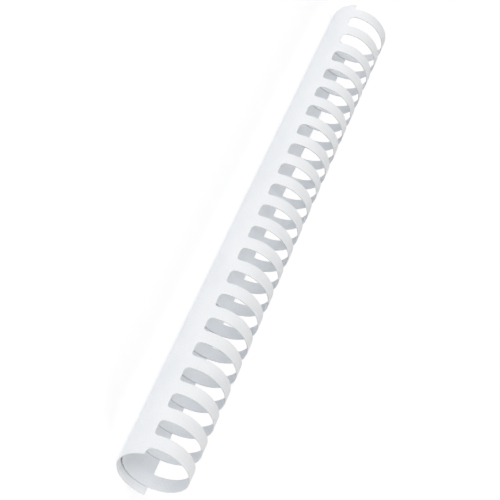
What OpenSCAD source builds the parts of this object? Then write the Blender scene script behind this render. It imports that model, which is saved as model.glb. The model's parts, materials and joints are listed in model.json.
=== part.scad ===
// Curled plastic binding comb. A long spine carries a row of ring fingers that
// curl round and tuck inside its free edge. Each ring flexes open along a line
// near its root, so that punched sheets can be threaded onto it.
// The comb lies along X on the outside of its spine, and Z is up. The origin is
// on the surface it lies on, under the middle of its length and of its depth.

/* [Comb] */
// Number of rings along the comb: 21 suit an A4 sheet
ring_count = 21; // [5:1:30]
// Distance from the centre of one ring to the next
pitch = 14.2875; // [12:0.0125:20]
// Outside diameter of the curled spine
comb_d = 30.8; // [22:0.1:51]
// Thickness of the plastic strip
wall = 0.45; // [0.3:0.05:0.8]
// Plain strip beyond the outer side of each end ring
end_margin = 3.6; // [1:0.1:5]

/* [Spine] */
// Arc that the spine covers, from the root line of the rings to its free edge
spine_arc = 155.5; // [135:0.5:170]
// Direction that the root line faces, seen from the +X end: 90 is straight up
root_angle = 182; // [150:1:190]
// Radius of the two rounded corners at the root of each slot
slot_corner_r = 2; // [0.4:0.1:2.5]

/* [Rings] */
// Width of a ring
ring_w = 6.5; // [5:0.1:9]
// Arc of a ring from the root line to its tip
ring_arc = 305; // [240:1:320]
// Arc past the root line where a ring leaves the circle of the spine
leave_arc = 16; // [1:1:26]
// Radius of the two rounded corners of a ring's tip
tip_corner_r = 2.4; // [0.5:0.1:2.4]
// Gap between a tucked ring and the inside of the spine, at the free edge
tuck_gap = 0.2; // [0.15:0.05:0.8]
// Gap between the tip of a ring and the inside of the spine
tip_gap = 0.5; // [0.3:0.05:1.5]
// Arc from the root line to the line where a ring flexes
flex_arc = 30; // [20:1:40]

/* [Hidden] */
$fn = 96;
function two_digits(number) = str(number < 10 ? "0" : "", number);
function ring_name(number) = str("ring_", two_digits(number));

// Angles in the comb's cross-section, seen from the +X end and counted from +Y
// towards +Z. A ring runs from its root line down through these, tip last.
leave_angle = root_angle - leave_arc;
flex_angle = root_angle - flex_arc;
free_edge_angle = root_angle - (360 - spine_arc);
tip_angle = root_angle - ring_arc;

// The cross-section is a spiral of three arcs that run smoothly into each other:
// the spine, the open part of a ring, and its tucked end, each a little tighter.
// The radii are whole microns, so that two arcs share the face where they meet.
function whole_micron(length) = round(1000 * length) / 1000;
spine_r = comb_d / 2;
ring_shift = whole_micron((wall + tuck_gap)
    / (1 - cos(leave_angle - free_edge_angle)));
ring_r = spine_r - ring_shift;
tuck_shift = whole_micron(
    (wall + tip_gap - ring_shift * (1 - cos(leave_angle - tip_angle)))
    / (1 - cos(free_edge_angle - tip_angle)));
tuck_r = ring_r - tuck_shift;

// Centres of the three arcs, as [Y, Z]. The spine touches the floor, and the
// origin is midway between the front of the spine and the back of the rings.
function direction(angle) = [cos(angle), sin(angle)];
front_reach = spine_r;
back_reach = ring_r + ring_shift * cos(leave_angle);
spine_axis = [(front_reach - back_reach) / 2, spine_r];
ring_axis = spine_axis + ring_shift * direction(leave_angle);
tuck_axis = ring_axis + tuck_shift * direction(free_edge_angle);

slot_w = pitch - ring_w;
strip_l = (ring_count - 1) * pitch + ring_w + 2 * end_margin;
// How far a slot's cutter runs past the flex line, and how far a cutter stands
// clear of the strip on each side
cut_over = 1;
slot_reach = spine_r * sin(flex_arc) + cut_over;
slot_depth = wall + spine_r * (1 - cos(flex_arc)) + 2 * cut_over;
plastic = [0.93, 0.94, 0.95];

function ring_x(number) = (number - (ring_count + 1) / 2) * pitch;
function slot_x(number) = (number - ring_count / 2) * pitch;

// Puts an arc's centre at axis, with +Y turned to point along angle
module in_section(axis, angle) {
    translate([0, axis[0], axis[1]])
        rotate([angle, 0, 0])
        children();
}

// A stretch of curled strip, through arc degrees from start, about the X axis
module curled_strip(radius, start, arc, width) {
    translate([-width / 2, 0, 0])
        rotate([90, 0, 90])
        rotate_extrude(angle = arc, start = start)
        translate([radius - wall, 0])
        square([wall, width]);
}

// Pushes a flat outline through a strip's wall from outside, where +Y meets it.
// Its X runs along the comb, and its Y along the strip, away from the ring's tip.
module through_strip(radius, depth) {
    translate([0, radius + cut_over, 0])
        rotate([90, 0, 0])
        linear_extrude(depth)
        children();
}

// What rounding takes off a corner that points up and to the right
module corner_waste(radius) {
    translate([-radius, -radius])
        difference() {
            square(radius + cut_over);
            circle(radius);
        }
}

module corner_wastes(width, radius) {
    for (side = [0, 1])
        mirror([side, 0])
            translate([width / 2, 0])
            corner_waste(radius);
}

// A slot between two rings, closed at the root line and open towards the tips
module slot_outline() {
    difference() {
        translate([-slot_w / 2, -slot_reach])
            square([slot_w, slot_reach]);
        corner_wastes(slot_w, slot_corner_r);
    }
}

module spine() {
    root_arc = flex_arc - leave_arc;
    color(plastic)
        difference() {
            in_section(spine_axis, leave_angle) {
                curled_strip(spine_r, 0, spine_arc + leave_arc, strip_l);
                translate([0, ring_shift, 0])
                    curled_strip(ring_r, -root_arc, root_arc, strip_l);
            }
            for (number = [0 : ring_count])
                translate([slot_x(number), 0, 0])
                    in_section(spine_axis, root_angle)
                    through_strip(spine_r, slot_depth)
                    slot_outline();
        }
}

module ring(number) {
    open_arc = flex_angle - free_edge_angle;
    tuck_arc = free_edge_angle - tip_angle;
    color(plastic)
        translate([ring_x(number), 0, 0])
        difference() {
            in_section(ring_axis, free_edge_angle) {
                curled_strip(ring_r, 0, open_arc, ring_w);
                translate([0, tuck_shift, 0])
                    curled_strip(tuck_r, -tuck_arc, tuck_arc, ring_w);
            }
            in_section(tuck_axis, tip_angle)
                through_strip(tuck_r, wall + 2 * cut_over)
                mirror([0, 1])
                corner_wastes(ring_w, tip_corner_r);
        }
}

spine();
for (number = [1 : ring_count])
    ring(number);
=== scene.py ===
import json
import math

import bmesh
import bpy
import numpy as np
from mathutils import Matrix, Vector


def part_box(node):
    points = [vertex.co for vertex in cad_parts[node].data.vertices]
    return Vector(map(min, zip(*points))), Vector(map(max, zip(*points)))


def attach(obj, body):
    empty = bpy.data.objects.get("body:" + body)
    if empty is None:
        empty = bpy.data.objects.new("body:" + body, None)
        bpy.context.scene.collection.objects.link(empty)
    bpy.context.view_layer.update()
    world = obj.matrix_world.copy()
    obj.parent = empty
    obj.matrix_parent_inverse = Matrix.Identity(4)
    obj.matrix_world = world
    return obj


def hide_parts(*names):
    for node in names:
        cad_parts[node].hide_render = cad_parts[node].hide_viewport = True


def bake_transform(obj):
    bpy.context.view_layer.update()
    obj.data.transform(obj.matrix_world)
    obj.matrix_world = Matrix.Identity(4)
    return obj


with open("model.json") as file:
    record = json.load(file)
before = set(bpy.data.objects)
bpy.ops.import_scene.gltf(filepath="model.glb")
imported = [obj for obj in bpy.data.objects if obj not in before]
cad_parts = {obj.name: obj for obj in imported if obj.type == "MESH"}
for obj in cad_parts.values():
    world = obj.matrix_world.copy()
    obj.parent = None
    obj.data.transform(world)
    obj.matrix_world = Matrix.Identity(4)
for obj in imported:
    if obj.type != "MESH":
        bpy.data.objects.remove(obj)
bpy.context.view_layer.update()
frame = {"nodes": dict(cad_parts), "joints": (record.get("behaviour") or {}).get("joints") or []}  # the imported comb: one spine and a row of sprung rings

# The strip that the whole comb is curled from
curl = {
    "rootAngle": 182.0,  # where the rings' root line faces, from +Y towards +Z, seen from +X
    "spineArc": 155.5,  # from the root line back to the spine's free edge
    "leaveArc": 16.0,  # past the root line, where a ring leaves the spine's circle
    "ringArc": 305.0,  # from the root line on to a ring's tip
    "spineRadius": 0.0154,
    "wall": 0.00045,
    "tuckGap": 0.0002,  # between a tucked ring and the spine, at the free edge
    "tipGap": 0.0005,  # between a ring's tip and the spine
}

slots = {
    "cornerRadius": 0.002,  # at the root of each slot
    "tipRadius": 0.0024,  # of the two corners of a ring's tip
    "seamArc": 8.0,  # past the root line, where the spine's mesh hands over to a ring's
    "bendArc": 55.0,  # past the root line, where a ring no longer bends
    "bendHalf": 0.0056,  # how far the bend reaches to each side of the flex line
}

edges = {
    "round": 0.00006,  # radius that the die leaves on each cut edge
    "steps": 3,
    "support": 0.00010,  # the face stays flat up to this far from an edge
    "seamSupport": 0.00002,
    "weld": 0.000002,  # points nearer than this become one
    "sharpAngle": 50,  # degrees, from which an edge shades as a crease
}

grid = {
    "arcStep": 2.0,  # degrees of curl from one row to the next
    "ringColumns": 6,
    "slotColumns": 3,
    "cornerSteps": 8,
    "endStep": 0.0012,  # from one column to the next beyond the end rings
}


def direction(angle):
    return np.cos(np.radians(angle)), np.sin(np.radians(angle))


def nodeBox(node):
    low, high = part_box(node)
    return np.array(low), np.array(high)


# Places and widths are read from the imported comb
ringNames = sorted(name for name in frame["nodes"] if name.startswith("ring_"))
ringBoxes = [nodeBox(name) for name in ringNames]
ringPlaces = [(low[0] + high[0]) / 2 for low, high in ringBoxes]
ringWidth = float(ringBoxes[0][1][0] - ringBoxes[0][0][0])
combHalf = float(nodeBox("spine")[1][0])
pivots = {joint["child"]: joint["pos_m"] for joint in frame["joints"]}

leaveAngle = curl["rootAngle"] - curl["leaveArc"]
freeArc = 360 - curl["spineArc"]  # where a ring passes under the free edge
freeAngle = curl["rootAngle"] - freeArc
tipAngle = curl["rootAngle"] - curl["ringArc"]

# The three arcs of the section, each a little tighter than the one before
ringShift = (curl["wall"] + curl["tuckGap"]) / (1 - direction(leaveAngle - freeAngle)[0])
ringRadius = curl["spineRadius"] - ringShift
ringSink = ringShift * (1 - direction(leaveAngle - tipAngle)[0])
tuckShift = (curl["wall"] + curl["tipGap"] - ringSink) / (1 - direction(freeAngle - tipAngle)[0])
tuckRadius = ringRadius - tuckShift

backReach = ringRadius + ringShift * direction(leaveAngle)[0]
spineAxis = np.array([(curl["spineRadius"] - backReach) / 2, curl["spineRadius"]])
ringAxis = spineAxis + ringShift * np.array(direction(leaveAngle))
tuckAxis = ringAxis + tuckShift * np.array(direction(freeAngle))


def curled(arc, depth):
    # A point of the section: the centre of the arc that it lies on, plus that arc's radius less
    # the depth under the outer face, along the direction that the root line's angle less arc faces.
    onSpine = arc <= curl["leaveArc"]
    tucked = arc > freeArc
    radius = np.where(onSpine, curl["spineRadius"], np.where(tucked, tuckRadius, ringRadius)) - depth
    centreY = np.where(onSpine, spineAxis[0], np.where(tucked, tuckAxis[0], ringAxis[0]))
    centreZ = np.where(onSpine, spineAxis[1], np.where(tucked, tuckAxis[1], ringAxis[1]))
    alongY, alongZ = direction(curl["rootAngle"] - arc)
    return centreY + radius * alongY, centreZ + radius * alongZ


def arcOf(length, radius):
    return np.degrees(length / radius)


def edgeProfile():
    # Insets from the outline and depths under the outer face, across a cut edge: a quarter circle
    # down from the outer face, the straight cut, and a quarter circle back to the inner face.
    turn = np.linspace(0, np.pi / 2, edges["steps"] + 1)
    inset = edges["round"] * (1 - np.sin(turn))
    depth = edges["round"] * (1 - np.cos(turn))
    return np.append(inset, inset[::-1]), np.append(depth, curl["wall"] - depth[::-1])


profileInset, profileDepth = edgeProfile()


def spaced(start, end, step, support):
    # Values from start to end about a step apart, with one more a support's length inside each end
    count = max(1, round(abs(end - start - 2 * support) / step))
    inner = np.linspace(start + support, end - support, count + 1)
    return np.concatenate([[start], inner, [end]])


def ringShares():
    # Where a ring's columns stand, from -1 at its left side to 1 at its right one
    return spaced(-1, 1, 2 / grid["ringColumns"], 2 * edges["support"] / ringWidth)


class Shell:
    # Collects patches, each a grid of points given by its place along the comb, its arc and its depth

    def __init__(self):
        self.points, self.strips, self.quads, self.caps, self.count = [], [], [], [], 0

    def number(self, along, arc, depth):
        along, arc, depth = np.broadcast_arrays(along, arc, depth)
        y, z = curled(arc, depth)
        self.points.append(np.stack([along, y, z], -1).reshape(-1, 3))
        unrolled = np.radians(arc) * curl["spineRadius"]
        self.strips.append(np.stack([along, unrolled, depth], -1).reshape(-1, 3))
        numbers = self.count + np.arange(along.size).reshape(along.shape)
        self.count += along.size
        return numbers

    def patch(self, along, arc, depth):
        # Joins each point of the grid with its neighbours in the next row and the next column
        n = self.number(along, arc, depth)
        corners = [n[:-1, :-1], n[1:, :-1], n[1:, 1:], n[:-1, 1:]]
        self.quads.append(np.stack(corners, -1).reshape(-1, 4))

    def faces(self, along, arc):
        # The same patch twice, on the outer face and on the inner one
        self.patch(along, arc, 0.0)
        self.patch(along[:, ::-1], arc[:, ::-1], curl["wall"])

    def cap(self, along, arc, depth):
        self.caps.append(self.number(along, arc, depth).tolist())

    def build(self, name):
        mesh = bpy.data.meshes.new(name)
        quads = np.concatenate(self.quads).tolist()
        mesh.from_pydata(np.concatenate(self.points).tolist(), [], quads + self.caps)
        strip = mesh.attributes.new("strip", "FLOAT_VECTOR", "POINT")
        strip.data.foreach_set("vector", np.concatenate(self.strips).astype(np.float32).ravel())
        work = bmesh.new()
        work.from_mesh(mesh)
        bmesh.ops.remove_doubles(work, verts=work.verts, dist=edges["weld"])
        bmesh.ops.recalc_face_normals(work, faces=work.faces)
        openEdges = sum(not edge.is_manifold for edge in work.edges)
        work.to_mesh(mesh)
        work.free()
        mesh.shade_smooth()
        mesh.set_sharp_from_angle(angle=math.radians(edges["sharpAngle"]))
        piece = bpy.data.objects.new(name, mesh)
        bpy.context.scene.collection.objects.link(piece)
        if openEdges:
            print(name, "has", openEdges, "open edges")
        return piece


def sectionLoop(half):
    # Once round a ring's section: outer face, one cut edge, inner face, the other cut edge.
    # Gives the place across the ring and the depth of each point, for a half-width less each inset.
    share = ringShares()
    face = share * (half - edges["round"])
    side = half - profileInset[1:-1]
    across = np.concatenate([face, side, face[::-1], -side[::-1]])
    depth = np.concatenate(
        [
            np.zeros(len(face)),
            profileDepth[1:-1],
            np.full(len(face), curl["wall"]),
            profileDepth[1:-1][::-1],
        ]
    )
    return across, depth


def sideRows(inset):
    # Down one side of a ring at its root, from the seam to the slot's bottom: straight, then a
    # quarter circle of the slot's corner radius plus the inset. Half-widths, and arcs past the root.
    turn = np.linspace(np.pi / 2, 0, grid["cornerSteps"] + 1)
    corner = slots["cornerRadius"]
    half = ringWidth / 2 + corner - (corner + inset) * np.sin(turn)
    past = corner - (corner + inset) * np.cos(turn)
    seam = np.radians(slots["seamArc"]) * curl["spineRadius"]
    straight = np.array([seam, seam - edges["seamSupport"]])
    half = np.append(np.full(2, half[0]), half)
    return half, arcOf(np.append(straight, past), curl["spineRadius"])


# Spine: the unslotted strip, out to the first few degrees of each ring
rootFlat = ringWidth / 2 + slots["cornerRadius"]


def slotBottom(left, right):
    # Columns of a slot's straight bottom, which runs from one ring's corner to the next one's
    return np.linspace(left + rootFlat, right - rootFlat, grid["slotColumns"] + 1)


def wallAlong(shell, alongOf, arcOfInset):
    # A cut edge along an outline: for each inset of the profile, the outline drawn in by it
    along = np.stack([alongOf(inset) for inset in profileInset])
    arc = np.stack([arcOfInset(inset) for inset in profileInset])
    shell.patch(along, arc, profileDepth[:, None])


def spineRows(inset):
    # Arcs from the free edge to the slots' bottoms
    reach = arcOf(inset, curl["spineRadius"])
    support = arcOf(edges["support"], curl["spineRadius"])
    return spaced(-curl["spineArc"] + reach, -reach, grid["arcStep"], support)


def makeSpine():
    shell = Shell()
    rounding = edges["round"]
    reach = arcOf(rounding, curl["spineRadius"])
    places = ringPlaces

    # outer and inner faces of the plain strip
    endColumns = spaced(rootFlat, combHalf - places[-1] - rounding, grid["endStep"], edges["support"])[1:]
    columns = [places[0] - endColumns[::-1]]
    for left, right in zip(places, places[1:]):
        columns += [left + ringShares() * rootFlat, slotBottom(left, right)[1:-1]]
    columns += [places[-1] + ringShares() * rootFlat, places[-1] + endColumns]
    columns = np.concatenate(columns)
    rows = spineRows(rounding)
    shell.faces(*np.meshgrid(columns, rows))

    # the root of each ring, from the slots' bottoms to the seam
    half, arc = sideRows(rounding)
    half, arc = half[::-1], arc[::-1]
    for place in places:
        along = place + half[:, None] * ringShares()
        shell.faces(along, np.broadcast_to(arc[:, None], along.shape))
        across, depth = sectionLoop(ringWidth / 2)
        shell.cap(place + across, slots["seamArc"], depth)

    # the cut edges of the slots, each up one ring and down the next
    for left, right in zip(places, places[1:]):
        bottom = slotBottom(left, right)[1:-1]

        def alongOf(inset):
            half = sideRows(inset)[0]
            return np.concatenate([left + half, bottom, right - half[::-1]])

        def arcOfInset(inset):
            arc = sideRows(inset)[1]
            low = np.full(len(bottom), -arcOf(inset, curl["spineRadius"]))
            return np.concatenate([arc, low, arc[::-1]])

        wallAlong(shell, alongOf, arcOfInset)

    # the cut edges round the outside: end slot, end, free edge, end and end slot
    def outerAlong(inset):
        half = sideRows(inset)[0]
        ends = np.append(endColumns[:-1], combHalf - places[-1] - inset)
        end = combHalf - inset
        straight = np.full(len(rows) - 2, end)
        free = np.concatenate([[end], columns[::-1][1:-1], [-end]])
        first = [places[-1] + half, places[-1] + ends, straight]
        last = [-straight, places[0] - ends[::-1], places[0] - half[::-1]]
        return np.concatenate([*first, free, *last])

    def outerArc(inset):
        arc = sideRows(inset)[1]
        reach = arcOf(inset, curl["spineRadius"])
        low = np.full(len(endColumns), -reach)
        straight = rows[1:-1][::-1]
        free = np.full(len(columns), -curl["spineArc"] + reach)
        return np.concatenate([arc, low, straight, free, straight[::-1], low, arc[::-1]])

    wallAlong(shell, outerAlong, outerArc)
    spine = shell.build("spine_strip")
    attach(spine, "spine")
    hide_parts("spine")
    return spine


# Rings: each a stretch by the root, left where it is made, and the curl beyond it, which rides its ring

def bandRows(startArc, endArc):
    # Arcs along a ring, with a very short row at each end so that the shading runs on over the seam
    seam = arcOf(edges["seamSupport"], ringRadius)
    return spaced(startArc, endArc, grid["arcStep"], seam)


def makeBend(name, place):
    # The section carried along the curl from the spine's seam to where the ring stays rigid
    shell = Shell()
    across, depth = sectionLoop(ringWidth / 2)
    rows = bandRows(slots["seamArc"], slots["bendArc"])
    across, depth = np.append(across, across[0]), np.append(depth, depth[0])
    shell.patch(place + across[None, :], rows[:, None], depth[None, :])
    shell.cap(place + across[:-1], rows[0], depth[:-1])
    shell.cap(place + across[:-1], rows[-1], depth[:-1])
    bend = shell.build(name + "_bend")
    pivot = Vector(pivots[name])
    flexAngle = math.degrees(math.atan2(pivot.z - ringAxis[1], pivot.y - ringAxis[0]))
    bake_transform(bend)
    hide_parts(name)
    return bend


def makeCurl(name, place):
    # The section carried on round the curl. Near the tip its half-width follows a quarter circle of
    # the tip's corner radius, and the cut edge closes over the end.
    shell = Shell()
    corner = slots["tipRadius"]
    width = ringWidth / 2
    tipArc = curl["ringArc"]
    cornerArc = tipArc - arcOf(corner, tuckRadius)
    turn = np.linspace(0, np.pi / 2, grid["cornerSteps"] + 1)

    def rowsOf(inset):
        # Arcs and half-widths of the rows, with the outline drawn in by the inset
        steady = bandRows(slots["bendArc"], cornerArc)[:-1]
        arc = cornerArc + arcOf((corner - inset) * np.sin(turn), tuckRadius)
        half = width - corner + (corner - inset) * np.cos(turn)
        return np.append(steady, arc), np.append(np.full(len(steady), width - inset), half)

    arc, half = rowsOf(edges["round"])
    along = place + half[:, None] * ringShares()
    shell.faces(along, np.broadcast_to(arc[:, None], along.shape))
    for side in (1, -1):
        wallAlong(shell, lambda inset: place + side * rowsOf(inset)[1], lambda inset: rowsOf(inset)[0])
    tip = place + (width - corner) * ringShares()
    wallAlong(shell, lambda inset: tip, lambda inset: np.full(len(tip), rowsOf(inset)[0][-1]))
    across, depth = sectionLoop(width)
    shell.cap(place + across, slots["bendArc"], depth)
    piece = shell.build(name + "_curl")
    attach(piece, name)
    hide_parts(name)
    return piece


spine = makeSpine()
print("spine:", len(spine.data.polygons), "faces")
rings = []
for name, place in zip(ringNames, ringPlaces):
    rings += [makeBend(name, place), makeCurl(name, place)]
print("rings:", len(rings), "pieces of", len(rings[1].data.polygons), "faces")

pvc = {
    "sheet": (0.790, 0.830, 0.873, 1),
    "clouded": (0.852, 0.880, 0.909, 1),
    "cutEdge": (0.845, 0.868, 0.892, 1),  # a little whiter where the die went through
    "roughness": 0.36,
    "streakRoughness": 0.10,  # what each pattern adds to it
    "grainRoughness": 0.06,
    "scuffRoughness": 0.08,
    "insideRoughness": 0.07,
    "cutRoughness": 0.16,
    "ior": 1.53,
    "cutFade": 0.00003,  # depth over which a face gives way to a cut edge
    "cloudPerMetre": (45, 60, 0),  # how often each pattern changes, along the comb and round the curl
    "streakPerMetre": (9, 850, 0),
    "mottlePerMetre": (1300, 1300, 0),
    "grainPerMetre": (2100, 2100, 0),
    "scuffPerMetre": (420, 28, 0),
    "diePerMetre": (5200, 5200, 60),
    "cloudShare": 0.45,  # of the change from sheet to clouded, the rest coming from the mottle
    "patternRange": (0.3, 0.7),  # where a pattern starts and ends changing the colour
    "scuffRange": (0.58, 0.72),
    "grainHeight": 0.00004,
    "mottleHeight": 0.00002,
    "streakHeight": 0.000012,
    "dieHeight": 0.00001,
}


class Value:
    # A socket that Python's operators work on, each adding the Math node it needs

    def __init__(self, tree, socket):
        self.tree, self.socket = tree, socket

    def math(self, operation, *values):
        return Nodes(self.tree).make("ShaderNodeMath", {"operation": operation}, dict(enumerate(values)))

    def __add__(self, other):
        return self.math("ADD", self, other)

    def __radd__(self, other):
        return self.math("ADD", other, self)

    def __sub__(self, other):
        return self.math("SUBTRACT", self, other)

    def __rsub__(self, other):
        return self.math("SUBTRACT", other, self)

    def __mul__(self, other):
        return self.math("MULTIPLY", self, other)

    def __rmul__(self, other):
        return self.math("MULTIPLY", other, self)

    def least(self, other):
        return self.math("MINIMUM", self, other)

    def share(self, low, high):
        # How far the value has gone from low to high, held between 0 and 1
        settings = {"interpolation_type": "SMOOTHSTEP"}
        return Nodes(self.tree).make("ShaderNodeMapRange", settings, {0: self, 1: low, 2: high})


class Nodes:
    # Makes nodes in one tree

    def __init__(self, tree):
        self.tree = tree

    def make(self, kind, settings=None, sockets=None, output=0):
        # Adds a node: its settings first, then a value or a link for each named or numbered socket
        node = self.tree.nodes.new(kind)
        for name, value in (settings or {}).items():
            setattr(node, name, value)
        for name, value in (sockets or {}).items():
            if isinstance(value, Value):
                self.tree.links.new(value.socket, node.inputs[name])
            else:
                node.inputs[name].default_value = value
        return Value(self.tree, node.outputs[output]) if len(node.outputs) else node


def emptyMaterial(name):
    material = bpy.data.materials.new(name)
    material.use_nodes = True
    material.node_tree.nodes.clear()
    return material, Nodes(material.node_tree)


def mixed(nodes, share, first, second):
    return nodes.make("ShaderNodeMix", {"data_type": "RGBA"}, {0: share, 6: first, 7: second}, output=2)


def whitePvc():
    # Satin calendered sheet: faint clouds and a fine mottle, lengthwise streaks, grain and a few scuffs
    # round the curl, matter inside than out, and whiter, rougher cut edges with the die's own lines
    material, nodes = emptyMaterial("white_pvc")
    strip = nodes.make("ShaderNodeAttribute", {"attribute_name": "strip"}, output="Vector")
    depth = nodes.make("ShaderNodeSeparateXYZ", sockets={"Vector": strip}, output="Z")

    def pattern(perMetre, detail):
        place = nodes.make("ShaderNodeVectorMath", {"operation": "MULTIPLY"}, {0: strip, 1: perMetre})
        return nodes.make("ShaderNodeTexNoise", sockets={"Vector": place, "Scale": 1.0, "Detail": detail})

    wall = curl["wall"]
    cut = depth.least(wall - depth).share(0, pvc["cutFade"])
    inside = depth.share(wall / 2, wall)
    cloud = pattern(pvc["cloudPerMetre"], 3.0)
    streak = pattern(pvc["streakPerMetre"], 2.0)
    mottle = pattern(pvc["mottlePerMetre"], 2.0)
    grain = pattern(pvc["grainPerMetre"], 2.0)
    scuff = pattern(pvc["scuffPerMetre"], 4.0).share(*pvc["scuffRange"])
    dieLines = pattern(pvc["diePerMetre"], 1.0)

    clouds = cloud.share(*pvc["patternRange"])
    mottles = mottle.share(*pvc["patternRange"])
    paleness = pvc["cloudShare"] * clouds + (1 - pvc["cloudShare"]) * mottles
    sheet = mixed(nodes, paleness, pvc["sheet"], pvc["clouded"])
    colour = mixed(nodes, cut, sheet, pvc["cutEdge"])
    roughness = pvc["roughness"] + pvc["streakRoughness"] * (streak - 0.5) + pvc["grainRoughness"] * grain
    roughness = roughness + pvc["scuffRoughness"] * scuff + pvc["insideRoughness"] * inside
    roughness = roughness + pvc["cutRoughness"] * cut
    faceHeight = pvc["grainHeight"] * grain + pvc["mottleHeight"] * mottle
    faceHeight = faceHeight + pvc["streakHeight"] * streak
    height = faceHeight * (1 - cut) + pvc["dieHeight"] * dieLines * cut
    bump = nodes.make("ShaderNodeBump", sockets={"Strength": 1.0, "Distance": 1.0, "Height": height})
    shader = nodes.make(
        "ShaderNodeBsdfPrincipled",
        sockets={"Base Color": colour, "Roughness": roughness, "IOR": pvc["ior"], "Normal": bump},
    )
    nodes.make("ShaderNodeOutputMaterial", sockets={"Surface": shader})
    return material


plastic = whitePvc()
for piece in [spine, *rings]:
    piece.data.materials.append(plastic)

stage = {
    "floorHalf": 12.0,
    "floorColour": (0.44, 0.45, 0.46, 1),
    "floorRoughness": 0.9,
    "floorSeen": (0.60, 0.60, 0.60, 1),  # the floor's own glow as it looks
    "floorLight": (0.56, 0.55, 0.545, 1),  # and as it lights the comb
    "light": (1.0, 0.971, 0.948, 1),
    "skyLight": 0.1,
    "skySeen": 1.0,
}

# Each lamp: where it stands round the comb, how high, its strength, and how wide it is, in degrees
lamps = {
    "key": (0, 33, 1.50, 50),
    "overhead": (0, 90, 0.48, 50),
    "behind": (180, 30, 1.64, 50),
    "fill": (42, 45, 0.72, 50),
}

camera = {
    "place": (0.47160, -0.49670, 0.23026),
    "aim": (0.02003, -0.00113, 0.01283),
    "roll": -99.347,  # degrees clockwise from level
    "lens": 111.07,
    "sensor": 36,
}


def paleFloor():
    # Looks white, and lights the comb from below a little less than it looks
    material, nodes = emptyMaterial("pale_floor")
    direct = nodes.make("ShaderNodeLightPath", output="Is Camera Ray")
    glow = mixed(nodes, direct, stage["floorLight"], stage["floorSeen"])
    shader = nodes.make(
        "ShaderNodeBsdfPrincipled",
        sockets={
            "Base Color": stage["floorColour"],
            "Roughness": stage["floorRoughness"],
            "Emission Color": glow,
            "Emission Strength": 1.0,
        },
    )
    nodes.make("ShaderNodeOutputMaterial", sockets={"Surface": shader})
    return material


def makeFloor():
    half = stage["floorHalf"]
    mesh = bpy.data.meshes.new("floor")
    corners = [(-half, -half, 0), (half, -half, 0), (half, half, 0), (-half, half, 0)]
    mesh.from_pydata(corners, [], [(0, 1, 2, 3)])
    floor = bpy.data.objects.new("floor", mesh)
    bpy.context.scene.collection.objects.link(floor)
    floor.data.materials.append(paleFloor())


def makeSky():
    # A weak light from all round, in front of a white backdrop
    world = bpy.data.worlds.new("studio")
    world.use_nodes = True
    world.node_tree.nodes.clear()
    nodes = Nodes(world.node_tree)
    kind = "ShaderNodeBackground"
    light = nodes.make(kind, sockets={"Color": stage["light"], "Strength": stage["skyLight"]})
    seen = nodes.make(kind, sockets={"Color": (1, 1, 1, 1), "Strength": stage["skySeen"]})
    direct = nodes.make("ShaderNodeLightPath", output="Is Camera Ray")
    both = nodes.make("ShaderNodeMixShader", sockets={0: direct, 1: light, 2: seen})
    nodes.make("ShaderNodeOutputWorld", sockets={"Surface": both})
    bpy.context.scene.world = world


def makeLamps():
    for name, (azimuth, elevation, strength, width) in lamps.items():
        lamp = bpy.data.lights.new(name, "SUN")
        lamp.energy, lamp.angle = strength, math.radians(width)
        lamp.color = stage["light"][:3]
        side, height = math.radians(azimuth), math.radians(elevation)
        level = math.cos(height)
        towards = Vector((math.sin(side) * level, -math.cos(side) * level, math.sin(height)))
        lampObject = bpy.data.objects.new(name, lamp)
        lampObject.matrix_world = towards.to_track_quat("Z", "Y").to_matrix().to_4x4()
        bpy.context.scene.collection.objects.link(lampObject)


def makeCamera():
    place, aim = Vector(camera["place"]), Vector(camera["aim"])
    lens = bpy.data.cameras.new("camera")
    lens.lens, lens.sensor_width = camera["lens"], camera["sensor"]
    lens.clip_start, lens.clip_end = 0.01, 100
    view = bpy.data.objects.new("camera", lens)
    level = (aim - place).to_track_quat("-Z", "Y").to_matrix()
    turned = level @ Matrix.Rotation(math.radians(-camera["roll"]), 3, "Z")
    view.matrix_world = Matrix.Translation(place) @ turned.to_4x4()
    bpy.context.scene.collection.objects.link(view)
    bpy.context.scene.camera = view


makeFloor()
makeSky()
makeLamps()
makeCamera()
bpy.context.scene.view_settings.view_transform = "Standard"
